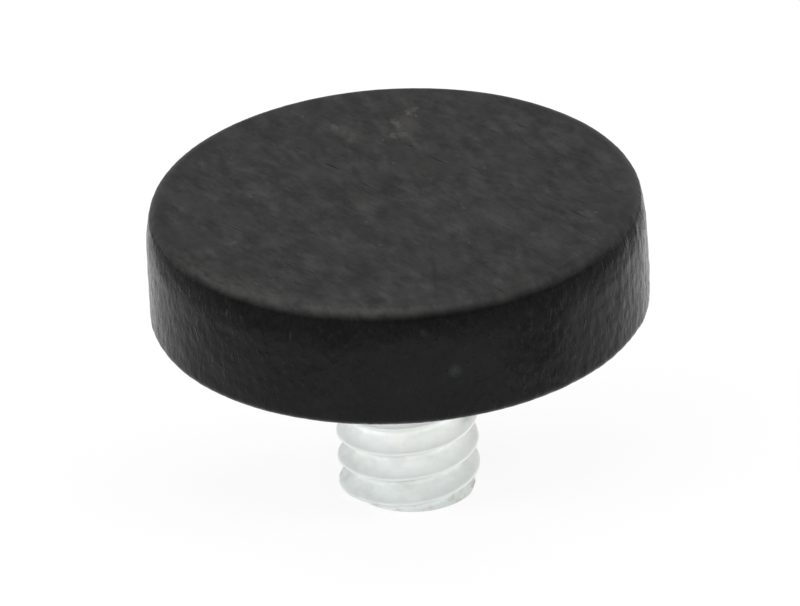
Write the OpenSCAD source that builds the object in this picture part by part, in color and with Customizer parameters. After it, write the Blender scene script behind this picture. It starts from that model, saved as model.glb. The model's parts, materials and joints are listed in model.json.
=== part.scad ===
// Screw-in rubber foot: a round moulded rubber pad, and a threaded steel stud whose notched
// flange is moulded into it. The origin is the middle of the seat face, where the stud leaves
// the pad, and +Z points to the tread. Millimetres.

/* [Pad] */
// Diameter of the pad at its seat face
pad_d = 22.2; // [20:0.1:40]
// Thickness of the pad, from seat face to tread face
pad_h = 5.55; // [5:0.05:12]
// Mould draft, as the radius that the pad loses from seat to tread
pad_draft = 0.1; // [0:0.05:0.5]
// Radius of the rounded edge of the tread
tread_edge_r = 0.8; // [0.2:0.05:1.2]
// Radius of the rounded edge of the seat face
seat_edge_r = 0.4; // [0.1:0.05:0.8]
// Diameter of the shallow recess that the mould leaves round the stud
relief_d = 8.4; // [8:0.1:10]
// Depth of the recess
relief_depth = 0.5; // [0.5:0.05:0.6]

/* [Stud] */
// Major diameter of the stud's thread
stud_d = 6.35; // [5:0.05:7.5]
// Pitch of the thread, which sets the diameter of the plain neck it is rolled from
thread_pitch = 1.27; // [0.8:0.01:1.5]
// Length of the stud that stands out of the seat face
stud_len = 9.1; // [6:0.1:25]
// Chamfer at the free end
stud_chamfer = 0.3; // [0.1:0.05:0.8]

/* [Flange] */
// Diameter of the flange that anchors the stud in the rubber
flange_d = 13; // [11:0.5:15]
// Thickness of the flange
flange_t = 1.4; // [1:0.1:1.8]
// Rubber between the seat face and the flange
flange_cover = 1.4; // [1.2:0.1:1.6]
// Notches in the flange's rim that stop the stud from turning in the rubber
notch_count = 4; // [2:1:6]
// Diameter of the half-round notches
notch_d = 2.2; // [1.5:0.1:2.6]

/* [Hidden] */
$fn = 96;

pad_r = pad_d / 2;
draft_angle = atan(pad_draft / pad_h);
edge_steps = 10;

stud_r = stud_d / 2;
neck_r = (stud_d - 0.6495 * thread_pitch) / 2; // pitch radius of a 60 degree thread
thread_gap = 0.1; // the full thread ends this far short of the seat face
neck_fillet_r = 0.3;
flange_r = flange_d / 2;
flange_top = flange_cover + flange_t;
flange_bevel = 0.2;
overrun = 0.5; // how far a cutter runs past the face it cuts

// Points on an arc about centre c
function arc(c, r, from, to) =
    [for (i = [0 : edge_steps]) let (a = from + (to - from) * i / edge_steps)
        c + r * [cos(a), sin(a)]];

// Centre of an edge round that is tangent to the drafted side, at height z
function edge_centre(r, z) = [pad_r - (r + z * sin(draft_angle)) / cos(draft_angle), z];

// Half section of the pad, from the seat face out, up its drafted side and in over the tread
pad_section = concat(
    [[0, 0]],
    arc(edge_centre(seat_edge_r, seat_edge_r), seat_edge_r, -90, draft_angle),
    arc(edge_centre(tread_edge_r, pad_h - tread_edge_r), tread_edge_r, draft_angle, 90),
    [[0, pad_h]]
);

// Half section of the stud: free end, shank, run-out of the thread, neck and flange
stud_section = concat(
    [
        [0, -stud_len],
        [stud_r - stud_chamfer, -stud_len],
        [stud_r, -stud_len + stud_chamfer],
        [stud_r, -thread_gap],
        [neck_r, stud_r - neck_r - thread_gap]
    ],
    arc([neck_r + neck_fillet_r, flange_cover - neck_fillet_r], neck_fillet_r, 180, 90),
    [
        [flange_r - flange_bevel, flange_cover],
        [flange_r, flange_cover + flange_bevel],
        [flange_r, flange_top - flange_bevel],
        [flange_r - flange_bevel, flange_top],
        [0, flange_top]
    ]
);

module flange_notches() {
    for (i = [0 : notch_count - 1])
        rotate([0, 0, 360 * i / notch_count])
            translate([flange_r, 0, flange_cover - overrun])
                cylinder(d = notch_d, h = flange_t + 2 * overrun);
}

module stud_body() {
    difference() {
        rotate_extrude() polygon(stud_section);
        flange_notches();
    }
}

// The rubber fills the notches and grips the neck, so its cavity is the stud's own form
module rubber_pad() {
    color("#3b3c3c")
        difference() {
            rotate_extrude() polygon(pad_section);
            stud_body();
            translate([0, 0, -overrun])
                cylinder(d = relief_d, h = relief_depth + overrun);
        }
}

module threaded_stud() {
    color("#e0e4e2") stud_body();
}

rubber_pad();
threaded_stud();
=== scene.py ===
import json
import math

import bmesh
import bpy
from mathutils import Matrix, Vector


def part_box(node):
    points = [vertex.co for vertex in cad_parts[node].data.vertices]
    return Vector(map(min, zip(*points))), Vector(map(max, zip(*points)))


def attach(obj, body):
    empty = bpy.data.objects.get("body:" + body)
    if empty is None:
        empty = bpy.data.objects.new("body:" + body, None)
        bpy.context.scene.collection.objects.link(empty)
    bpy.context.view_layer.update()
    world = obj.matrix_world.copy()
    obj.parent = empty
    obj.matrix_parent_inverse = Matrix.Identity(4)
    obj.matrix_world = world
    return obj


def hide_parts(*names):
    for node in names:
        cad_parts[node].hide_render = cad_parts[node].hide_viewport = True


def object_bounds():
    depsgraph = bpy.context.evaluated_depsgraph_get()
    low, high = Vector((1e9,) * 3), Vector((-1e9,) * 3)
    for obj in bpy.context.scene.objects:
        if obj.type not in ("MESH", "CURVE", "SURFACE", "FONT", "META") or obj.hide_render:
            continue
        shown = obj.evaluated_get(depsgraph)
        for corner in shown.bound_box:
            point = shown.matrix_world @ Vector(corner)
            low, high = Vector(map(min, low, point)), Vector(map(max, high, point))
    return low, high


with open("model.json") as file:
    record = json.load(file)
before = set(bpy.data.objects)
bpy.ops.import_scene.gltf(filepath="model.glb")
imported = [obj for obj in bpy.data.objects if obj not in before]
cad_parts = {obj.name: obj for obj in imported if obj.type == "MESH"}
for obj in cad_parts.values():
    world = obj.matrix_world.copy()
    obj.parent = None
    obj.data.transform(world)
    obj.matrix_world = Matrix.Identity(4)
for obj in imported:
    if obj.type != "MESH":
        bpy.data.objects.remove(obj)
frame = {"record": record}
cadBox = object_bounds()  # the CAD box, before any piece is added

mm = 0.001
scene = bpy.context.scene
scene.view_settings.view_transform = "Standard"
print("frame loaded, CAD box", [[round(v / mm, 2) for v in corner] for corner in cadBox])


# Small helpers that the node trees share

def addNode(tree, kind, **settings):
    node = tree.nodes.new(kind)
    for name, value in settings.items():
        setattr(node, name, value)
    return node


def feed(tree, socket, term):
    # a link where the term is a socket, else a plain value
    if isinstance(term, bpy.types.NodeSocket):
        tree.links.new(term, socket)
    else:
        socket.default_value = term


def feedAll(tree, node, terms):
    for socket, term in zip(node.inputs, terms):
        feed(tree, socket, term)


def calc(tree, operation, *terms):
    node = addNode(tree, "ShaderNodeMath", operation=operation)
    feedAll(tree, node, terms)
    return node.outputs[0]


def times(tree, product, *others):
    for other in others:
        product = calc(tree, "MULTIPLY", product, other)
    return product


def calcVector(tree, operation, *terms):
    node = addNode(tree, "ShaderNodeVectorMath", operation=operation)
    feedAll(tree, node, terms)
    return node.outputs["Value" if operation == "LENGTH" else "Vector"]


def splitVector(tree, vector):
    node = tree.nodes.new("ShaderNodeSeparateXYZ")
    tree.links.new(vector, node.inputs[0])
    return node.outputs


def joinVector(tree, *terms):
    node = tree.nodes.new("ShaderNodeCombineXYZ")
    feedAll(tree, node, terms)
    return node.outputs[0]


def remap(tree, value, fromLow, fromHigh, toLow, toHigh, style="LINEAR"):
    node = addNode(tree, "ShaderNodeMapRange", interpolation_type=style)
    for name, term in (("Value", value), ("From Min", fromLow), ("From Max", fromHigh),
                       ("To Min", toLow), ("To Max", toHigh)):
        feed(tree, node.inputs[name], term)
    return node.outputs[0]


def liveSocket(sockets, name):
    return next(s for s in sockets if s.name == name and s.enabled)


# Camera, at the photograph's angle

cameraSpec = {
    "aim": Vector((0, 0, 2.775 * mm)),  # middle of the pad
    "distance": 400 * mm,
    "elevation": 27.9,    # of the line of sight to the aim
    "roll": 3.17,         # the picture leans, its right side is higher
    "scale": 22.62,       # pixels for each millimetre at the aim
    "aimPixel": (397.5, 250.8),
    "picture": (800, 606),
    "sensor": 36.0,
    "clip": (0.01, 20.0),
}


def makeCamera(spec):
    width, height = spec["picture"]
    focal = spec["scale"] * spec["distance"] / mm  # in pixels
    right = (spec["aimPixel"][0] - width / 2) / focal
    above = (height / 2 - spec["aimPixel"][1]) / focal
    tilt = math.radians(spec["elevation"]) + math.atan(above)
    roll = math.radians(spec["roll"])
    ahead = Vector((0, math.cos(tilt), -math.sin(tilt)))
    level = Vector((1, 0, 0))
    upright = Vector((0, math.sin(tilt), math.cos(tilt)))
    side = level * math.cos(roll) - upright * math.sin(roll)
    top = upright * math.cos(roll) + level * math.sin(roll)
    place = spec["aim"] - spec["distance"] * (ahead + side * right + top * above)

    data = bpy.data.cameras.new("photoCamera")
    data.sensor_fit = "HORIZONTAL"
    data.sensor_width = spec["sensor"]
    data.lens = focal * spec["sensor"] / width
    data.clip_start, data.clip_end = spec["clip"]
    camera = bpy.data.objects.new("photoCamera", data)
    turn = Matrix((side, top, -ahead)).transposed().to_4x4()
    camera.matrix_world = Matrix.Translation(place) @ turn
    scene.collection.objects.link(camera)
    scene.camera = camera


makeCamera(cameraSpec)
print("camera set")


# Floor, surround and lamps

stageSpec = {
    "floorSize": 6.0,
    "floorDrop": 0.02 * mm,      # below the stud's end
    "floorColor": (0.93, 0.93, 0.93, 1),
    "floorShine": 0.82,          # share of plain white that is seen in the floor
    # gloss sees a white sheet that fades out over this reach, which is shorter behind the foot
    "sheetShift": (0, 4 * mm, 0),  # added to a point, so the sheet's middle is before the foot
    "sheetReach": (33 * mm, 78 * mm), "sheetBack": 50 * mm, "sheetTurn": (60.0, 120.0),
    "sheetEnd": 0.15,
    # grey cards on the sheet, seen in the gloss only: turn from the front, half widths, level, start
    "cards": [(53.0, (9.0, 17.0), 0.28, 26 * mm), (115.0, (20.0, 45.0), 0.88, 0.0),
              (-47.0, (8.0, 22.0), 0.86, 0.0), (-50.0, (22.0, 40.0), 0.30, 34 * mm),
              (-105.0, (15.0, 50.0), 0.72, 0.0)],
    "cardFade": 6 * mm,
    "surroundFill": 0.85,        # what the surround gives as soft light
    "upperDark": 0.10,           # the room above, as gloss shows it
    "horizonFade": (0.10, 0.32),  # sine of the elevation where the white horizon ends
    "frontTurn": (-0.10, 0.50),  # only behind the foot is the horizon white
    "ceilingWhite": 0.50,        # a pale panel overhead, past the dark that the edge shows
    "ceilingFade": (0.80, 0.96),
}

# the low boxes give matte light only, so they draw no line in the rubber's edge
softBoxes = [
    {"name": "leftBox", "place": (-0.42, -0.11, 0.176), "size": (0.30, 0.16), "power": 1.25},
    {"name": "rightBox", "place": (0.43, -0.06, 0.150), "size": (0.30, 0.16), "power": 1.33},
    {"name": "frontBox", "place": (-0.10, -0.42, 0.176), "size": (0.40, 0.14), "power": 0.46},
]


def seenRays(tree):
    # camera, glossy and transmission rays see the white of the studio
    path = tree.nodes.new("ShaderNodeLightPath")
    seen = calc(tree, "MAXIMUM", path.outputs["Is Camera Ray"], path.outputs["Is Glossy Ray"])
    return path, calc(tree, "MAXIMUM", seen, path.outputs["Is Transmission Ray"])


def makeFloor(spec):
    half = spec["floorSize"] / 2
    z = cadBox[0][2] - spec["floorDrop"]
    mesh = bpy.data.meshes.new("paleFloor")
    mesh.from_pydata([(-half, -half, z), (half, -half, z), (half, half, z), (-half, half, z)],
                     [], [(0, 1, 2, 3)])
    floor = bpy.data.objects.new("paleFloor", mesh)
    scene.collection.objects.link(floor)

    material = bpy.data.materials.new("paleFloor")
    material.use_nodes = True
    tree = material.node_tree
    tree.nodes.clear()
    matte = tree.nodes.new("ShaderNodeBsdfDiffuse")
    matte.inputs["Color"].default_value = spec["floorColor"]
    white = tree.nodes.new("ShaderNodeEmission")
    share = tree.nodes.new("ShaderNodeMixShader")
    path, seen = seenRays(tree)
    tree.links.new(calc(tree, "MULTIPLY", seen, spec["floorShine"]), share.inputs[0])
    point = tree.nodes.new("ShaderNodeNewGeometry").outputs["Position"]
    axes = splitVector(tree, point)
    around = calc(tree, "ARCTAN2", axes["X"], calc(tree, "MULTIPLY", axes["Y"], -1.0))
    reach = calcVector(tree, "LENGTH", calcVector(tree, "ADD", point, spec["sheetShift"]))
    start, end = spec["sheetReach"]
    end = remap(tree, calc(tree, "ABSOLUTE", around), *[math.radians(v) for v in spec["sheetTurn"]],
                end, spec["sheetBack"])
    sheet = remap(tree, reach, start, end, 1.0, spec["sheetEnd"], "SMOOTHSTEP")
    for turn, width, cardLevel, cardStart in spec["cards"]:
        off = calc(tree, "ABSOLUTE", calc(tree, "SUBTRACT", around, math.radians(turn)))
        card = remap(tree, off, *[math.radians(v) for v in width], cardLevel, 1.0, "SMOOTHSTEP")
        inside = remap(tree, reach, cardStart, cardStart + spec["cardFade"], 1.0, 0.0, "SMOOTHSTEP")
        sheet = calc(tree, "MULTIPLY", sheet, calc(tree, "MAXIMUM", card, inside))
    shown = calc(tree, "MAXIMUM", sheet, path.outputs["Is Camera Ray"])
    tree.links.new(shown, white.inputs["Strength"])
    tree.links.new(matte.outputs[0], share.inputs[1])
    tree.links.new(white.outputs[0], share.inputs[2])
    out = tree.nodes.new("ShaderNodeOutputMaterial")
    tree.links.new(share.outputs[0], out.inputs["Surface"])
    mesh.materials.append(material)


def makeSurround(spec):
    world = bpy.data.worlds.new("softSurround")
    scene.world = world
    world.use_nodes = True
    tree = world.node_tree
    tree.nodes.clear()
    toward = splitVector(tree, tree.nodes.new("ShaderNodeTexCoord").outputs["Generated"])
    around = remap(tree, toward["Y"], *spec["frontTurn"], 0.0, 1.0, "SMOOTHSTEP")
    horizon = calc(tree, "MULTIPLY", around,
                   remap(tree, toward["Z"], *spec["horizonFade"], 1.0, 0.0, "SMOOTHSTEP"))
    ceiling = remap(tree, toward["Z"], *spec["ceilingFade"], 0.0, spec["ceilingWhite"], "SMOOTHSTEP")
    gloss = calc(tree, "MAXIMUM", calc(tree, "MAXIMUM", horizon, ceiling), spec["upperDark"])
    path, seen = seenRays(tree)
    shown = calc(tree, "MAXIMUM", gloss, path.outputs["Is Camera Ray"])
    lit = calc(tree, "MULTIPLY", calc(tree, "SUBTRACT", 1.0, seen), spec["surroundFill"])
    level = calc(tree, "ADD", calc(tree, "MULTIPLY", shown, seen), lit)
    back = tree.nodes.new("ShaderNodeBackground")
    tree.links.new(level, back.inputs["Strength"])
    back.inputs["Color"].default_value = (1, 1, 1, 1)
    out = tree.nodes.new("ShaderNodeOutputWorld")
    tree.links.new(back.outputs[0], out.inputs["Surface"])


def makeLamps(boxes):
    for box in boxes:
        data = bpy.data.lights.new(box["name"], "AREA")
        data.shape = "RECTANGLE"
        data.size, data.size_y = box["size"]
        data.energy = box["power"]
        lamp = bpy.data.objects.new(box["name"], data)
        place = Vector(box["place"])
        lamp.matrix_world = (Matrix.Translation(place)
                             @ (-place).to_track_quat("-Z", "Y").to_matrix().to_4x4())
        lamp.visible_glossy = False
        scene.collection.objects.link(lamp)


makeFloor(stageSpec)
makeSurround(stageSpec)
makeLamps(softBoxes)
print("floor, surround and lamps set")


# Materials

def startMaterial(name):
    material = bpy.data.materials.new(name)
    material.use_nodes = True
    tree = material.node_tree
    tree.nodes.clear()
    shader = tree.nodes.new("ShaderNodeBsdfPrincipled")
    out = tree.nodes.new("ShaderNodeOutputMaterial")
    tree.links.new(shader.outputs[0], out.inputs["Surface"])
    place = tree.nodes.new("ShaderNodeTexCoord").outputs["Object"]
    return material, tree, shader, place


def movePlace(tree, place, shift, turn, scale=(1, 1, 1), style="POINT"):
    node = addNode(tree, "ShaderNodeMapping", vector_type=style)
    tree.links.new(place, node.inputs["Vector"])
    node.inputs["Location"].default_value = shift
    node.inputs["Rotation"].default_value = (0, 0, math.radians(turn))
    node.inputs["Scale"].default_value = scale
    return node.outputs[0]


def layNoise(tree, place, stretch, turn, detail, rough, shift):
    # stretch is how many cells fit in a millimetre along each turned axis
    turned = movePlace(tree, place, (shift, shift, shift), turn)
    noise = addNode(tree, "ShaderNodeTexNoise", noise_dimensions="3D")
    tree.links.new(calcVector(tree, "MULTIPLY", turned, [cells / mm for cells in stretch]),
                   noise.inputs["Vector"])
    noise.inputs["Scale"].default_value = 1.0
    noise.inputs["Detail"].default_value = detail
    noise.inputs["Roughness"].default_value = rough
    return noise.outputs[0]


def mixNoise(tree, noise, weights):
    # adds up the named noises, each times its weight
    total = 0.0
    for name, weight in weights.items():
        total = calc(tree, "MULTIPLY_ADD", noise[name], weight, total)
    return total


def blendColor(tree, share, low, high):
    node = addNode(tree, "ShaderNodeMix", data_type="RGBA")
    feed(tree, node.inputs[0], share)
    feed(tree, node.inputs[6], low)
    feed(tree, node.inputs[7], high)
    return node.outputs[2]


def blendValue(tree, share, low, high):
    node = addNode(tree, "ShaderNodeMix", data_type="FLOAT")
    feed(tree, node.inputs[0], share)
    feed(tree, node.inputs[2], low)
    feed(tree, node.inputs[3], high)
    return node.outputs[0]


def fromAxis(tree, axes):
    # how far a point is from the foot's axis
    return calc(tree, "SQRT", calc(tree, "ADD", calc(tree, "POWER", axes["X"], 2.0),
                                   calc(tree, "POWER", axes["Y"], 2.0)))


def layRagged(tree, place, cells, amount, detail):
    # the place, pushed about a little, so that drawn marks get uneven rims
    noise = addNode(tree, "ShaderNodeTexNoise", noise_dimensions="3D")
    tree.links.new(place, noise.inputs["Vector"])
    noise.inputs["Scale"].default_value = cells / mm
    noise.inputs["Detail"].default_value = detail
    push = calcVector(tree, "MULTIPLY_ADD", noise.outputs["Color"], (amount, amount, 0),
                      (-amount / 2, -amount / 2, 0))
    return calcVector(tree, "ADD", place, push)


def layMarks(tree, place, stretch, turn, reach, keep, shift):
    # sparse small marks: a share of the cells, called keep, holds one each
    turned = movePlace(tree, place, (shift, shift, 0), turn)
    cells = addNode(tree, "ShaderNodeTexVoronoi", voronoi_dimensions="2D", feature="F1")
    tree.links.new(calcVector(tree, "MULTIPLY", turned, (stretch[0] / mm, stretch[1] / mm, 0)),
                   cells.inputs["Vector"])
    cells.inputs["Scale"].default_value = 1.0
    pick = tree.nodes.new("ShaderNodeSeparateColor")
    tree.links.new(cells.outputs["Color"], pick.inputs[0])
    inside = remap(tree, cells.outputs["Distance"], *reach, 1.0, 0.0)
    return calc(tree, "MULTIPLY", inside, calc(tree, "LESS_THAN", pick.outputs[0], keep))


def layPatches(tree, place, patches, solid):
    # the strongest of some turned ellipses, each 1 up to the share called solid, then fading to its rim
    most = 0.0
    for centre, halves, turn, strength in patches:
        spot = movePlace(tree, place, [v * mm for v in centre], turn, [v * mm for v in halves], "TEXTURE")
        patch = remap(tree, calcVector(tree, "LENGTH", spot), solid, 1.0, 1.0, 0.0)
        most = calc(tree, "MAXIMUM", most, calc(tree, "MULTIPLY", patch, strength))
    return most


def facePatches(marks, z, depth):
    # marks on a level face
    return [((x, y, z), (length, width, depth), turn, strength)
            for x, y, length, width, turn, strength in marks]


def sidePatches(marks, depth):
    # marks on an upright face
    return [((x, y, z), (length, depth, tall), turn, strength)
            for x, y, z, length, tall, turn, strength in marks]


def layBump(tree, shader, height):
    bump = tree.nodes.new("ShaderNodeBump")
    bump.inputs["Strength"].default_value = 1.0
    bump.inputs["Distance"].default_value = 1.0
    tree.links.new(height, bump.inputs["Height"])
    tree.links.new(bump.outputs[0], shader.inputs["Normal"])


grindTurn = 49.0  # degrees, the way the tread was ground

rubberLook = {
    "treadDark": (0.0181, 0.0180, 0.0177, 1),
    "treadLight": (0.0457, 0.0454, 0.0447, 1),
    "treadCurve": 1.4,          # above 1, dark blots are weaker than pale ones
    "treadWarm": (0.0318, 0.0292, 0.0287, 1),
    "rimHighlightColor": (0.0525, 0.0522, 0.0510, 1),
    "rimTurn": 240.0,           # painted highlight, paler along the near left of the edge
    "sideDark": (0.003, 0.003, 0.003, 1),
    "sideLight": (0.007, 0.007, 0.0069, 1),
    "specular": 0.130,
    "sheen": 0.10, "sheenRough": 0.30,   # the pale bloom of old rubber at a low angle
    # cells in a millimetre along the turned axes, turn in degrees, detail, roughness, shift in metres
    "noises": {
        "lines": ((1.0, 5.0, 5.0), grindTurn, 3.0, 0.60, 0.0),
        "clouds": ((0.42, 0.80, 0.80), grindTurn + 23, 5.0, 0.66, 0.007),
        "blots": ((1.2, 2.2, 2.2), grindTurn + 14, 4.0, 0.62, 0.017),
        "tints": ((0.45, 0.6, 0.6), grindTurn - 20, 2.0, 0.50, 0.027),
        "grain": ((9.0, 9.0, 9.0), 0, 2.0, 0.60, 0.0),
        "drags": ((5.0, 5.0, 3.0), 0, 3.0, 0.60, 0.021),
        "specks": ((4.5, 4.5, 1.7), 0, 2.0, 0.55, 0.041),
        "patches": ((0.5, 0.5, 0.6), 0, 3.0, 0.60, 0.033),
    },
    # weights of the noises
    "treadMix": {"lines": 0.10, "clouds": 0.52, "blots": 0.38},
    "sideMix": {"drags": 0.5, "patches": 0.5},
    "treadHighMix": {"lines": 0.30, "grain": 0.30},
    "sideHighMix": {"drags": 0.80, "specks": 0.50, "grain": 0.25},
    "treadRelief": 0.016 * mm, "sideRelief": 0.024 * mm,
    "cutDepth": 0.5,            # share of the tread's relief
    # maps: from low, from high, to low, to high
    "treadToneMap": (0.37, 0.63, 0.0, 1.0),
    "sideToneMap": (0.34, 0.68, 0.0, 1.0),
    "warmMap": (0.50, 0.68, 0.0, 0.5),
    "speckMap": (0.60, 0.70, 0.0, 1.0),
    "groundMap": (0.24, 1.00, 0.0, 1.0), "groundUneven": 0.24,
    "rimReachMap": (9.7 * mm, 10.7 * mm, 0.0, 1.0),
    "rimTurnMap": (0.66, 0.94, 0.0, 0.9),   # from the cosine of the turn away from the rim's middle
    "rimBlotMap": (0.35, 0.62, 0.2, 1.0),
    "patchyMap": (0.36, 0.60, 0.3, 1.0),
    "treadRoughMap": (0.3, 0.7, 0.44, 0.62),
    "sideRoughMap": (0.3, 0.7, 0.15, 0.28),
    # sparse marks: cells in a millimetre, turn, reach in cells, share of cells, shift in metres
    "scratches": ((0.8, 4.4), grindTurn - 3, (0.09, 0.30), 0.04, 0.004),
    "scratchColor": (0.012, 0.012, 0.012, 1), "scratchStrength": 0.5,
    "flecks": ((1.3, 2.1), grindTurn + 20, (0.051, 0.17), 0.012, 0.009),
    "fleckColor": (0.066, 0.066, 0.064, 1), "fleckStrength": 0.7,
    "markDepth": 0.4, "nickDepth": 0.3,     # in mm, how far drawn marks reach into the rubber
    # fine cuts, most of them along the grinding: x, y, length, width in mm, turn, strength
    "cutSolid": 0.3,
    "cuts": [
        (-2.68, 3.06, 0.78, 0.07, -grindTurn, 1.0),
        (-1.23, 1.08, 0.66, 0.05, -grindTurn, 1.0),
        (2.03, 3.10, 0.78, 0.06, -grindTurn, 1.0),
        (7.92, -2.68, 0.84, 0.06, -grindTurn, 1.0),
        (0.86, 4.64, 0.16, 0.10, -grindTurn, 1.0),
        (-7.00, -2.40, 0.60, 0.05, -grindTurn, 1.0),
        (4.60, 5.60, 0.50, 0.05, -grindTurn, 1.0),
        (1.54, -7.40, 2.50, 0.16, 91, 0.4),
    ],
    # pale marks on the tread, with ragged rims: x, y, length, width in mm, turn, strength
    "raggedCells": 3.0, "raggedBy": 0.55 * mm, "raggedDetail": 3.0,
    "hazeColor": (0.076, 0.071, 0.067, 1),
    "hazes": [
        (0.62, 6.80, 1.40, 0.75, 88, 0.6),
        (-1.90, 6.20, 1.10, 0.60, -52, 0.4),
    ],
    "scuffColor": (0.116, 0.112, 0.104, 1),
    "scuffs": [
        (1.08, 8.25, 0.40, 0.22, 60, 0.55),
        (0.83, 7.89, 0.36, 0.24, 80, 0.70),
        (0.26, 6.83, 0.72, 0.24, 106, 0.70),
        (0.13, 5.72, 0.44, 0.16, 95, 0.60),
        (0.47, 5.86, 0.28, 0.20, -40, 0.50),
        (-2.54, 6.89, 0.52, 0.18, -62, 0.45),
        (-1.85, 5.62, 0.40, 0.18, 95, 0.35),
        (-7.16, -3.66, 0.18, 0.16, 0, 0.4),
    ],
    # nicks in the side: x, y, z, length, height in mm, turn, strength
    "nickColor": (0.066, 0.078, 0.078, 1),
    "nicks": [
        (2.19, -10.84, 2.50, 0.34, 0.40, 11, 0.27),
        (0.92, -11.02, 4.50, 0.24, 0.24, 5, 0.18),
        (-4.84, -9.95, 4.18, 0.08, 0.34, -26, 0.22),
        (-7.58, -8.05, 4.46, 0.08, 0.24, -43, 0.40),
    ],
}


def makeRubber(look):
    material, tree, shader, place = startMaterial("mouldedRubber")
    noise = {name: layNoise(tree, place, *values) for name, values in look["noises"].items()}
    noise["specks"] = remap(tree, noise["specks"], *look["speckMap"], "SMOOTHSTEP")

    # the ground face ends unevenly, half way round the edge
    ground = addNode(tree, "ShaderNodeAttribute", attribute_name="treadShare").outputs["Fac"]
    ground = calc(tree, "MULTIPLY_ADD", noise["patches"], look["groundUneven"], ground)
    onTread = remap(tree, ground, *look["groundMap"], "SMOOTHSTEP")

    treadTone = remap(tree, mixNoise(tree, noise, look["treadMix"]), *look["treadToneMap"])
    treadTone = calc(tree, "POWER", treadTone, look["treadCurve"])
    treadColor = blendColor(tree, treadTone, look["treadDark"], look["treadLight"])
    warm = remap(tree, noise["tints"], *look["warmMap"])
    treadColor = blendColor(tree, warm, treadColor, look["treadWarm"])
    axes = splitVector(tree, place)
    out = fromAxis(tree, axes)
    rimWay = math.radians(look["rimTurn"])
    toRim = calc(tree, "MULTIPLY_ADD", axes["X"], math.cos(rimWay),
                 calc(tree, "MULTIPLY", axes["Y"], math.sin(rimWay)))
    toRim = calc(tree, "DIVIDE", toRim, calc(tree, "MAXIMUM", out, mm))
    # painted highlight: the tread's rim is paler along its near left, broken up by the blots
    rim = times(tree, remap(tree, out, *look["rimReachMap"], "SMOOTHSTEP"),
                remap(tree, toRim, *look["rimTurnMap"], "SMOOTHSTEP"),
                remap(tree, noise["blots"], *look["rimBlotMap"]))
    treadColor = blendColor(tree, rim, treadColor, look["rimHighlightColor"])
    sideTone = remap(tree, mixNoise(tree, noise, look["sideMix"]), *look["sideToneMap"])
    sideColor = blendColor(tree, sideTone, look["sideDark"], look["sideLight"])
    rubberColor = blendColor(tree, onTread, sideColor, treadColor)

    # cuts and scratches are dark, flecks and scuffs are worn pale
    top, depth = cadBox[1][2] / mm, look["markDepth"]
    scratches = times(tree, layMarks(tree, place, *look["scratches"]), look["scratchStrength"])
    cuts = layPatches(tree, place, facePatches(look["cuts"], top, depth), look["cutSolid"])
    cut = times(tree, calc(tree, "MAXIMUM", scratches, cuts), onTread)
    rubberColor = blendColor(tree, cut, rubberColor, look["scratchColor"])
    flecks = times(tree, layMarks(tree, place, *look["flecks"]), onTread, look["fleckStrength"])
    rubberColor = blendColor(tree, flecks, rubberColor, look["fleckColor"])
    patchy = remap(tree, noise["grain"], *look["patchyMap"])
    ragged = layRagged(tree, place, look["raggedCells"], look["raggedBy"], look["raggedDetail"])
    for where, patches, color in (
            (ragged, facePatches(look["hazes"], top, depth), "hazeColor"),
            (ragged, facePatches(look["scuffs"], top, depth), "scuffColor"),
            (place, sidePatches(look["nicks"], look["nickDepth"]), "nickColor")):
        worn = times(tree, layPatches(tree, where, patches, 0.0), patchy)
        rubberColor = blendColor(tree, worn, rubberColor, look[color])
    tree.links.new(rubberColor, shader.inputs["Base Color"])

    treadRough = remap(tree, noise["clouds"], *look["treadRoughMap"])
    sideRough = remap(tree, noise["drags"], *look["sideRoughMap"])
    tree.links.new(blendValue(tree, onTread, sideRough, treadRough), shader.inputs["Roughness"])
    shader.inputs["Specular IOR Level"].default_value = look["specular"]
    shader.inputs["Sheen Weight"].default_value = look["sheen"]
    shader.inputs["Sheen Roughness"].default_value = look["sheenRough"]

    treadHigh = calc(tree, "MULTIPLY_ADD", cut, -look["cutDepth"],
                     mixNoise(tree, noise, look["treadHighMix"]))
    treadHigh = times(tree, treadHigh, look["treadRelief"])
    sideHigh = times(tree, mixNoise(tree, noise, look["sideHighMix"]), look["sideRelief"])
    layBump(tree, shader, blendValue(tree, onTread, sideHigh, treadHigh))
    return material


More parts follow.
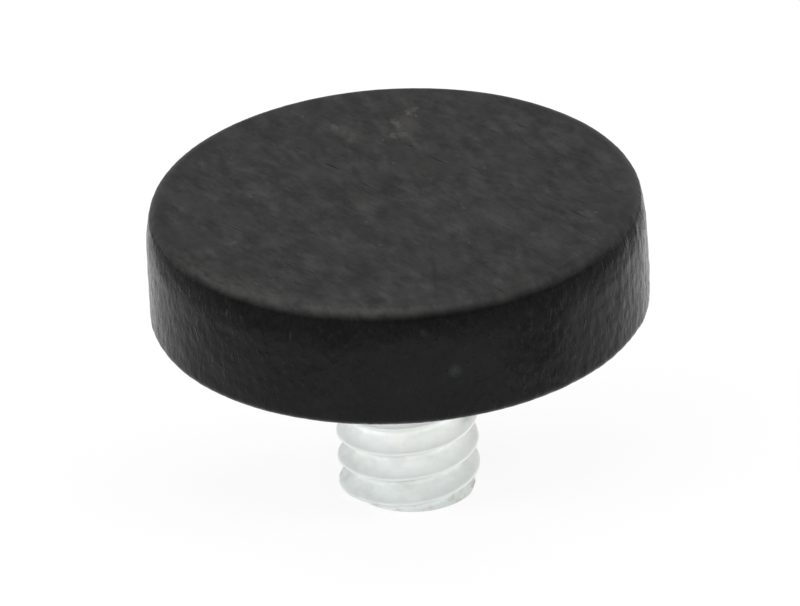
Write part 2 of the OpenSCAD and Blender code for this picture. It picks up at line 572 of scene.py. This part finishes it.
zincLook = {
    "bright": (0.935, 0.945, 0.935, 1),
    "dull": (0.86, 0.882, 0.876, 1),
    "blueTint": (0.82, 0.87, 0.89, 1),
    "yellowTint": (0.89, 0.90, 0.83, 1),
    "crestColor": (0.72, 0.745, 0.735, 1),   # the plating is worn on the thread's crest
    "endShadeColor": (0.655, 0.69, 0.68, 1),      # painted shade, darker and duller towards the free end
    # painted shade in the thread's groove
    "grooveShadeColor": (0.52, 0.54, 0.50, 1),
    "spotColor": (0.42, 0.42, 0.37, 1),
    "metal": 0.3,
    "relief": 0.010 * mm,
    # cells in a millimetre, turn in degrees, detail, roughness, shift in metres
    "noises": {
        "clouds": ((0.5, 0.5, 0.7), 0, 4.0, 0.60, 0.005),
        "grain": ((8.0, 8.0, 8.0), 0, 3.0, 0.60, 0.0),
        "tints": ((0.35, 0.35, 0.35), 0, 2.0, 0.50, 0.013),
        "smears": ((1.3, 1.3, 2.2), 0, 4.0, 0.65, 0.029),
    },
    "toneMix": {"clouds": 0.7, "grain": 0.3},
    # maps: from low, from high, to low, to high
    "toneMap": (0.35, 0.65, 0.0, 1.0), "toneEndShadeMap": (0.0, 1.0, 1.0, 0.20),
    "blueMap": (0.52, 0.66, 0.0, 0.5),
    "yellowMap": (0.46, 0.34, 0.0, 0.3),
    "yellowSideMap": (0.2 * mm, 3.0 * mm, 0.0, 0.4),  # yellower towards +X
    "crestMap": (0.0, 0.12, 0.8, 0.0),       # from the share of the thread's depth
    "endMap": (-3.6 * mm, -8.2 * mm, 0.0, 1.0), "endCloudMap": (0.35, 0.65, 0.9, 0.5),
    "grooveShadeSmearMap": (0.40, 0.62, 0.0, 1.0),
    "grooveShadeDepthMap": (0.0, 1.0, 0.15, 0.40), "grooveShadeEndMap": (0.0, 1.0, 0.25, 1.0),
    "spotMap": (0.48, 0.66, 0.0, 0.7),
    "spotEndMap": (-8.1 * mm, -8.75 * mm, 0.0, 1.0),
    "spotRingMap": (2.1 * mm, 2.9 * mm, 0.2, 1.0),    # few spots in the middle of the flat end
    "roughMap": (0.3, 0.7, 0.44, 0.58),
    # painted shadow of the pad, dark in the groove: x, y, z, length, height in mm, turn, strength
    "padShadowColor": (0.38, 0.41, 0.42, 1), "padShadowDepth": 0.7, "padShadowSolid": 0.1,
    "padShadowPatches": [(2.82, -0.69, -5.25, 1.15, 0.66, 76, 0.85)],
    "padShadowGrooveMap": (0.12, 0.4, 0.0, 1.0), "padShadowSmearMap": (0.35, 0.60, 0.6, 1.0),
}


def makeZinc(look):
    material, tree, shader, place = startMaterial("zincPlate")
    noise = {name: layNoise(tree, place, *values) for name, values in look["noises"].items()}
    groove = addNode(tree, "ShaderNodeAttribute", attribute_name="grooveShare").outputs["Fac"]
    axes = splitVector(tree, place)
    toEnd = remap(tree, axes["Z"], *look["endMap"])

    # painted shade: the tone sinks towards dull near the free end
    tone = remap(tree, mixNoise(tree, noise, look["toneMix"]), *look["toneMap"])
    tone = times(tree, tone, remap(tree, toEnd, *look["toneEndShadeMap"]))
    zincColor = blendColor(tree, tone, look["dull"], look["bright"])
    blue = remap(tree, noise["tints"], *look["blueMap"])
    zincColor = blendColor(tree, blue, zincColor, look["blueTint"])
    yellow = calc(tree, "MAXIMUM", remap(tree, noise["tints"], *look["yellowMap"]),
                  remap(tree, axes["X"], *look["yellowSideMap"]))
    zincColor = blendColor(tree, yellow, zincColor, look["yellowTint"])
    crest = remap(tree, groove, *look["crestMap"])
    zincColor = blendColor(tree, crest, zincColor, look["crestColor"])
    # painted shade: the colour turns darker towards the free end, broken up by the clouds
    endShade = times(tree, toEnd, remap(tree, noise["clouds"], *look["endCloudMap"]))
    zincColor = blendColor(tree, endShade, zincColor, look["endShadeColor"])
    # painted shade sits in the thread's groove, more of it towards the end
    grooveShade = times(tree, remap(tree, groove, *look["grooveShadeDepthMap"]),
                  remap(tree, noise["smears"], *look["grooveShadeSmearMap"]),
                  remap(tree, toEnd, *look["grooveShadeEndMap"]))
    zincColor = blendColor(tree, grooveShade, zincColor, look["grooveShadeColor"])
    # painted shadow: the pad's shade on the thread, drawn as a dark patch in the groove
    padShadowPatches = sidePatches(look["padShadowPatches"], look["padShadowDepth"])
    padShadow = times(tree, layPatches(tree, place, padShadowPatches, look["padShadowSolid"]),
                  remap(tree, groove, *look["padShadowGrooveMap"]),
                  remap(tree, noise["smears"], *look["padShadowSmearMap"]))
    zincColor = blendColor(tree, padShadow, zincColor, look["padShadowColor"])
    spots = times(tree, remap(tree, noise["smears"], *look["spotMap"], "SMOOTHSTEP"),
                  remap(tree, axes["Z"], *look["spotEndMap"]),
                  remap(tree, fromAxis(tree, axes), *look["spotRingMap"]))
    zincColor = blendColor(tree, spots, zincColor, look["spotColor"])
    tree.links.new(zincColor, shader.inputs["Base Color"])
    tree.links.new(remap(tree, noise["clouds"], *look["roughMap"]), shader.inputs["Roughness"])
    shader.inputs["Metallic"].default_value = look["metal"]
    layBump(tree, shader, times(tree, noise["grain"], look["relief"]))
    return material


mouldedRubber = makeRubber(rubberLook)
zincPlate = makeZinc(zincLook)
print("materials made")


# Turned pieces: a row of section points is carried round the axis by Geometry Nodes

turningSpec = {"weld": 0.001 * mm, "sharpAngle": 50.0}
socketKinds = {int: "NodeSocketInt", float: "NodeSocketFloat", list: "NodeSocketVector",
               type(mouldedRubber): "NodeSocketMaterial"}


def startTurning(name, sizes):
    # gives the tree, its inputs by name, and the turned point's angle, radius and height
    tree = bpy.data.node_groups.new(name, "GeometryNodeTree")
    tree.interface.new_socket(name="Section", in_out="INPUT", socket_type="NodeSocketGeometry")
    for label, value in sizes.items():
        tree.interface.new_socket(name=label, in_out="INPUT", socket_type=socketKinds[type(value)])
    tree.interface.new_socket(name="Piece", in_out="OUTPUT", socket_type="NodeSocketGeometry")
    given = tree.nodes.new("NodeGroupInput").outputs

    count = tree.nodes.new("GeometryNodeAttributeDomainSize")
    tree.links.new(given["Section"], count.inputs[0])
    grid = tree.nodes.new("GeometryNodeMeshGrid")
    tree.links.new(calc(tree, "ADD", given["Columns"], 1.0), grid.inputs["Vertices X"])
    tree.links.new(count.outputs["Point Count"], grid.inputs["Vertices Y"])
    index = tree.nodes.new("GeometryNodeInputIndex").outputs[0]
    row = addNode(tree, "FunctionNodeIntegerMath", operation="MODULO")
    column = addNode(tree, "FunctionNodeIntegerMath", operation="DIVIDE_FLOOR")
    for node in (row, column):
        tree.links.new(index, node.inputs[0])
        tree.links.new(count.outputs["Point Count"], node.inputs[1])

    def sample(kind, field):
        node = addNode(tree, "GeometryNodeSampleIndex", data_type=kind, domain="POINT")
        tree.links.new(given["Section"], node.inputs["Geometry"])
        tree.links.new(field, liveSocket(node.inputs, "Value"))
        tree.links.new(row.outputs[0], node.inputs["Index"])
        return liveSocket(node.outputs, "Value")

    def sampleNamed(attribute):
        node = addNode(tree, "GeometryNodeInputNamedAttribute", data_type="FLOAT")
        node.inputs["Name"].default_value = attribute
        return sample("FLOAT", liveSocket(node.outputs, "Attribute"))

    place = tree.nodes.new("GeometryNodeInputPosition").outputs[0]
    point = splitVector(tree, sample("FLOAT_VECTOR", place))
    turn = times(tree, calc(tree, "DIVIDE", column.outputs[0], given["Columns"]), 2 * math.pi)
    return {"tree": tree, "given": given, "mesh": grid.outputs["Mesh"], "turn": turn,
            "radius": point["X"], "height": point["Z"], "share": sampleNamed}


def turnedPlace(job, radius):
    tree, turn = job["tree"], job["turn"]
    return joinVector(tree, calc(tree, "MULTIPLY", radius, calc(tree, "COSINE", turn)),
                      calc(tree, "MULTIPLY", radius, calc(tree, "SINE", turn)), job["height"])


def endTurning(job, radius, attribute, value):
    # keeps one attribute, places the points, closes seam and poles, and gives the piece its material
    tree, given = job["tree"], job["given"]
    store = addNode(tree, "GeometryNodeStoreNamedAttribute", data_type="FLOAT", domain="POINT")
    store.inputs["Name"].default_value = attribute
    tree.links.new(job["mesh"], store.inputs["Geometry"])
    tree.links.new(value, liveSocket(store.inputs, "Value"))
    flow = store.outputs[0]
    for kind, plug, term in (
            ("GeometryNodeSetPosition", "Position", turnedPlace(job, radius)),
            ("GeometryNodeMergeByDistance", "Distance", given["Weld"]),
            ("GeometryNodeRealizeInstances", None, None),
            ("GeometryNodeSetMaterial", "Material", given["Finish"])):
        node = tree.nodes.new(kind)
        tree.links.new(flow, node.inputs["Geometry"])
        if plug:
            tree.links.new(term, node.inputs[plug])
        flow = node.outputs[0]
    out = tree.nodes.new("NodeGroupOutput")
    tree.links.new(flow, out.inputs["Piece"])


def turnPiece(name, section, shares, tree, sizes):
    mesh = bpy.data.meshes.new(name + "Section")
    mesh.from_pydata([(r, 0.0, z) for r, z in section], [], [])
    for attribute, numbers in shares.items():
        mesh.attributes.new(attribute, "FLOAT", "POINT").data.foreach_set("value", numbers)
    piece = bpy.data.objects.new(name, mesh)
    scene.collection.objects.link(piece)
    modifier = piece.modifiers.new("turning", "NODES")
    modifier.node_group = tree
    for item in tree.interface.items_tree:
        if item.item_type == "SOCKET" and item.in_out == "INPUT" and item.name in sizes:
            modifier[item.identifier] = sizes[item.name]
    graph = bpy.context.evaluated_depsgraph_get()
    turned = bpy.data.meshes.new_from_object(piece.evaluated_get(graph))
    piece.modifiers.clear()
    piece.data = turned
    turned.name = name
    bpy.data.meshes.remove(mesh)

    work = bmesh.new()
    work.from_mesh(turned)
    bmesh.ops.dissolve_degenerate(work, dist=sizes["Weld"], edges=work.edges)
    bmesh.ops.recalc_face_normals(work, faces=work.faces)
    loose = sum(1 for edge in work.edges if not edge.is_manifold)
    work.to_mesh(turned)
    work.free()
    turned.shade_smooth()
    turned.set_sharp_from_angle(angle=math.radians(turningSpec["sharpAngle"]))
    turned.calc_loop_triangles()
    print(name, len(turned.vertices), "points", len(turned.loop_triangles), "triangles", loose,
          "open edges")
    return piece


def arcPoints(centre, radius, start, end, steps):
    return [(centre[0] + radius * math.cos(math.radians(a)),
             centre[1] + radius * math.sin(math.radians(a)))
            for a in [start + (end - start) * i / steps for i in range(steps + 1)]]


def linePoints(start, end, steps):
    # leaves out the end, which the next stretch brings
    return [tuple(a + (b - a) * i / steps for a, b in zip(start, end)) for i in range(steps)]


# The flange, which the stud has and the pad's cavity follows

flangeSpec = {
    "radius": 6.5 * mm, "cover": 1.4 * mm, "thick": 1.4 * mm, "bevel": 0.2 * mm,
    "notches": 4, "notchRadius": 1.1 * mm, "fillet": 0.3 * mm,
    "lead": 0.3 * mm,              # first step past the fillet
    "core": 0.6 * mm,              # radius of the ring nearest to the axis
    "steps": {"fillet": 6, "under": 8, "rim": 3, "top": 12},
}
neckTop = flangeSpec["cover"] - flangeSpec["fillet"]
notchSizes = {
    "Flange Radius": flangeSpec["radius"], "Notch Radius": flangeSpec["notchRadius"],
    "Notches": flangeSpec["notches"], "Weld": turningSpec["weld"],
}


def flangeSection(spec, neck):
    # from the neck out round the flange and back to the axis
    flange, under, top = spec["radius"], spec["cover"], spec["cover"] + spec["thick"]
    bevel, steps = spec["bevel"], spec["steps"]
    bend = neck + spec["fillet"]
    points = arcPoints((bend, neckTop), spec["fillet"], 180, 90, steps["fillet"])
    points += linePoints((bend + spec["lead"], under), (flange - bevel, under), steps["under"])
    points += [(flange - bevel, under), (flange, under + bevel)]
    points += linePoints((flange, under + bevel * 2), (flange, top - bevel), steps["rim"])
    points += [(flange, top - bevel)]
    points += linePoints((flange - bevel, top), (spec["core"], top), steps["top"])
    return points + [(spec["core"], top), (0.0, top)]


def notchRadius(job, radius):
    # half-round notches in the flange's rim, on the axes
    tree, given = job["tree"], job["given"]
    step = calc(tree, "DIVIDE", 2 * math.pi, given["Notches"])
    half = calc(tree, "MULTIPLY", step, 0.5)
    off = calc(tree, "FLOORED_MODULO", calc(tree, "ADD", job["turn"], half), step)
    off = calc(tree, "SUBTRACT", off, half)
    across = calc(tree, "MULTIPLY", given["Flange Radius"], calc(tree, "SINE", off))
    room = calc(tree, "SUBTRACT", calc(tree, "POWER", given["Notch Radius"], 2.0),
                calc(tree, "MULTIPLY", across, across))
    near = calc(tree, "SUBTRACT",
                calc(tree, "MULTIPLY", given["Flange Radius"], calc(tree, "COSINE", off)),
                calc(tree, "SQRT", calc(tree, "MAXIMUM", room, 0.0)))
    missed = calc(tree, "LESS_THAN", room, 0.0)  # the ray passes beside the notch
    return calc(tree, "MINIMUM", radius, calc(tree, "ADD", near, missed))


# The stud

studSpec = {
    "radius": frame["record"]["mounts"][0]["dims"]["r_mm"] * mm,
    "length": -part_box("threaded_stud")[0][2],
    "pitch": 1.27 * mm,
    "pitchCut": 0.6495,            # the pitch diameter is this share of the pitch under the major one
    "depth": 0.74 * mm,
    "crest": 0.10, "root": 0.80,   # shares of the half pitch where the flank starts and ends
    "soften": 0.14,                # rounds the crest and the root
    "phase": 0.79,                 # a crest at the right height on the photo's right edge
    "chamfer": 0.3 * mm,
    "gap": 0.1 * mm,               # the full thread stops short of the seat face
    "fadeFrom": -1.3 * mm,         # the groove runs out from here up
    "columns": 224,
    "rowStep": 0.05 * mm,
    "endRings": (0.6 * mm, 1.2 * mm, 1.8 * mm), "endRim": 2.2 * mm,
    "steps": {"end": 8, "chamfer": 6, "runOut": 8, "neck": 4},
}
neckRadius = studSpec["radius"] - studSpec["pitchCut"] * studSpec["pitch"] / 2
runOutTop = studSpec["radius"] - neckRadius - studSpec["gap"]


def studSection(spec):
    # from the middle of the free end out, up the thread, round the flange
    radius, end, steps = spec["radius"], -spec["length"], spec["steps"]
    rim, low, high = radius - spec["chamfer"], end + spec["chamfer"], -spec["gap"]
    points = [(0.0, end)] + [(ring, end) for ring in spec["endRings"]]
    points += linePoints((spec["endRim"], end), (rim, end), steps["end"])
    points += linePoints((rim, end), (radius, low), steps["chamfer"])
    points += linePoints((radius, low), (radius, high), round((high - low) / spec["rowStep"]))
    points += linePoints((radius, high), (neckRadius, runOutTop), steps["runOut"])
    points += linePoints((neckRadius, runOutTop), (neckRadius, neckTop), steps["neck"])
    flange = flangeSection(flangeSpec, neckRadius)
    shares = {"threadShare": [1.0] * len(points) + [0.0] * len(flange)}
    return points + flange, shares


def makeStud(spec):
    sizes = {
        "Columns": spec["columns"], "Finish": zincPlate, "Radius": spec["radius"],
        "Pitch": spec["pitch"], "Depth": spec["depth"], "Crest": spec["crest"], "Root": spec["root"],
        "Soften": spec["soften"], "Phase": spec["phase"], "Neck Radius": neckRadius,
        "Fade From": spec["fadeFrom"], "Fade To": runOutTop, **notchSizes}
    job = startTurning("studTurning", sizes)
    tree, given = job["tree"], job["given"]
    # right-hand helix: one turn rises one pitch
    rise = calc(tree, "SUBTRACT", calc(tree, "DIVIDE", job["height"], given["Pitch"]),
                calc(tree, "DIVIDE", job["turn"], 2 * math.pi))
    part = calc(tree, "FRACT", calc(tree, "ADD", rise, given["Phase"]))
    off = times(tree, calc(tree, "ABSOLUTE", calc(tree, "SUBTRACT", part, 0.5)), 2.0)
    flank = calc(tree, "DIVIDE", calc(tree, "SUBTRACT", given["Root"], off),
                 calc(tree, "SUBTRACT", given["Root"], given["Crest"]))
    shape = calc(tree, "SMOOTH_MAX", flank, 0.0, given["Soften"])
    shape = calc(tree, "SMOOTH_MIN", shape, 1.0, given["Soften"])
    root = calc(tree, "SUBTRACT", given["Radius"], given["Depth"])
    thread = calc(tree, "ADD", root, calc(tree, "MULTIPLY", shape, given["Depth"]))
    floor = remap(tree, job["height"], given["Fade From"], given["Fade To"], root,
                  given["Neck Radius"])
    thread = calc(tree, "MAXIMUM", thread, floor)
    threaded = job["share"]("threadShare")
    plain = calc(tree, "SUBTRACT", 1.0, threaded)
    shank = calc(tree, "MINIMUM", job["radius"], calc(tree, "ADD", thread, plain))
    groove = calc(tree, "MULTIPLY", calc(tree, "SUBTRACT", 1.0, shape), threaded)
    endTurning(job, notchRadius(job, shank), "grooveShare", groove)

    section, shares = studSection(spec)
    return turnPiece("threadedStud", section, shares, tree, sizes)


# The pad

padSpec = {
    "radius": 11.09 * mm,
    "height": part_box("rubber_pad")[1][2],
    "shoulder": 11.06 * mm,        # radius where the crowned upper part of the side starts
    "crown": 6.2 * mm, "crownTurn": 13.0,
    "treadEdge": 0.7 * mm, "seatEdge": 0.4 * mm,
    "recess": 4.2 * mm, "recessDepth": 0.5 * mm,
    "core": 0.5 * mm,              # radius of the ring nearest to the axis
    "columns": 720,
    "steps": {"tread": 12, "edge": 20, "crown": 14, "side": 30, "seatEdge": 6,
              "seat": 6, "wall": 2, "floor": 4, "neck": 3},
    "wornFade": (1.02, 0.24),      # shares of the edge where the ground face ends and is whole
    "ridgeRise": 1.6,              # how fast the drag marks set in along the edge
    "ridgeDepth": 0.036 * mm,      # drag marks of the mould, up the side
    "ridgeCells": (2.4, 2.4, 1.8),  # cells in a millimetre
    "ridgeDetail": 3.0,
    "edgeWear": 0.040 * mm,        # slow waviness of the edge and the side
    "wearCells": (0.45, 0.45, 0.35),
    "wearDetail": 2.0, "wearSeedStep": 3.7,
    "deepTurn": -24.0, "deepGain": 0.4,  # both are deeper towards this turn
    "deepFade": (0.70, 0.95),      # cosines of the turn away from it
    "seed": 12.0,
}


def padSection(spec):
    # from the middle of the tread out, down the side, in under the seat, and round the cavity
    edge, crown, lean = spec["treadEdge"], spec["crown"], math.radians(spec["crownTurn"])
    height, steps = spec["height"], spec["steps"]
    recess, deep, seatEdge = spec["recess"], spec["recessDepth"], spec["seatEdge"]
    shoulder = height - edge * (1 - math.sin(lean)) - crown * math.sin(lean)
    crownCentre = (spec["shoulder"] - crown, shoulder)
    topCentre = (crownCentre[0] + (crown - edge) * math.cos(lean),
                 crownCentre[1] + (crown - edge) * math.sin(lean))
    topArc = arcPoints(topCentre, edge, 90, spec["crownTurn"], steps["edge"])
    crownArc = arcPoints(crownCentre, crown, spec["crownTurn"], 0, steps["crown"])[1:]
    lowArc = arcPoints((spec["radius"] - seatEdge, seatEdge), seatEdge, 0, -90, steps["seatEdge"])
    tread = [(0.0, height)] + linePoints((spec["core"], height), topArc[0], steps["tread"])
    side = linePoints(crownArc[-1], lowArc[0], steps["side"])[1:]
    seat = linePoints(lowArc[-1], (recess, 0.0), steps["seat"])[1:]
    wall = linePoints((recess, 0.0), (recess, deep), steps["wall"])
    floor = linePoints((recess, deep), (neckRadius, deep), steps["floor"])
    neck = linePoints((neckRadius, deep), (neckRadius, neckTop), steps["neck"])
    parts = [(tread, "tread"), (topArc, "edge"), (crownArc, "side"), (side, "side"), (lowArc, "side"),
             (seat, "seat"), (wall, "seat"), (floor, "seat"), (neck, "seat"),
             (flangeSection(flangeSpec, neckRadius), "cavity")]
    wornEnd, wornWhole = spec["wornFade"]
    section, shares = [], {"treadShare": [], "ridgeShare": [], "edgeShare": [], "plugShare": []}
    for points, kind in parts:
        for i, point in enumerate(points):
            along = i / max(1, len(points) - 1)
            worn = min(1.0, max(0.0, (wornEnd - along) / (wornEnd - wornWhole)))
            ridged = min(1.0, spec["ridgeRise"] * along)
            waved = math.sin(math.pi * along / 2)
            section.append(point)
            shares["treadShare"].append({"tread": 1.0, "edge": worn}.get(kind, 0.0))
            shares["ridgeShare"].append({"edge": ridged, "side": 1.0}.get(kind, 0.0))
            shares["edgeShare"].append({"edge": waved, "side": 1.0}.get(kind, 0.0))
            shares["plugShare"].append(1.0 if kind == "cavity" else 0.0)
    return section, shares


def makePad(spec):
    sizes = {
        "Columns": spec["columns"], "Seed": spec["seed"], "Finish": mouldedRubber,
        "Ridge Depth": spec["ridgeDepth"], "Edge Wear": spec["edgeWear"],
        "Ridge Cells": [cells / mm for cells in spec["ridgeCells"]],
        "Wear Cells": [cells / mm for cells in spec["wearCells"]],
        "Deep Turn": math.radians(spec["deepTurn"]), "Deep Gain": spec["deepGain"], **notchSizes}
    job = startTurning("padTurning", sizes)
    tree, given, share = job["tree"], job["given"], job["share"]
    plain = turnedPlace(job, job["radius"])

    def relief(cells, seedStep, detail, depth, where):
        # noise about zero, as deep as the section's share says
        noise = addNode(tree, "ShaderNodeTexNoise", noise_dimensions="4D")
        tree.links.new(calcVector(tree, "MULTIPLY", plain, given[cells]), noise.inputs["Vector"])
        tree.links.new(calc(tree, "ADD", given["Seed"], seedStep), noise.inputs["W"])
        noise.inputs["Scale"].default_value = 1.0
        noise.inputs["Detail"].default_value = detail
        swing = times(tree, calc(tree, "SUBTRACT", noise.outputs[0], 0.5), 2.0)
        return calc(tree, "MULTIPLY", swing, calc(tree, "MULTIPLY", given[depth], share(where)))

    ridge = relief("Ridge Cells", 0.0, spec["ridgeDetail"], "Ridge Depth", "ridgeShare")
    wear = relief("Wear Cells", spec["wearSeedStep"], spec["wearDetail"], "Edge Wear", "edgeShare")
    facing = calc(tree, "COSINE", calc(tree, "SUBTRACT", job["turn"], given["Deep Turn"]))
    facing = remap(tree, facing, *spec["deepFade"], 0.0, 1.0, "SMOOTHSTEP")
    gain = calc(tree, "ADD", 1.0, calc(tree, "MULTIPLY", given["Deep Gain"], facing))
    outer = calc(tree, "ADD", job["radius"], calc(tree, "MULTIPLY", gain, calc(tree, "ADD", ridge, wear)))
    outside = calc(tree, "SUBTRACT", 1.0, share("plugShare"))  # the notches are in the cavity only
    radius = calc(tree, "MINIMUM", outer,
                  calc(tree, "ADD", notchRadius(job, job["radius"]), outside))
    endTurning(job, radius, "treadShare", share("treadShare"))

    section, shares = padSection(spec)
    return turnPiece("rubberPad", section, shares, tree, sizes)


rubberPad = makePad(padSpec)
print("pad made")
threadedStud = makeStud(studSpec)
print("stud made")

for piece, node, slotName in ((rubberPad, "rubber_pad", "rubber"),
                              (threadedStud, "threaded_stud", "zinc_steel")):
    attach(piece, "root")
    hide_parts(node)
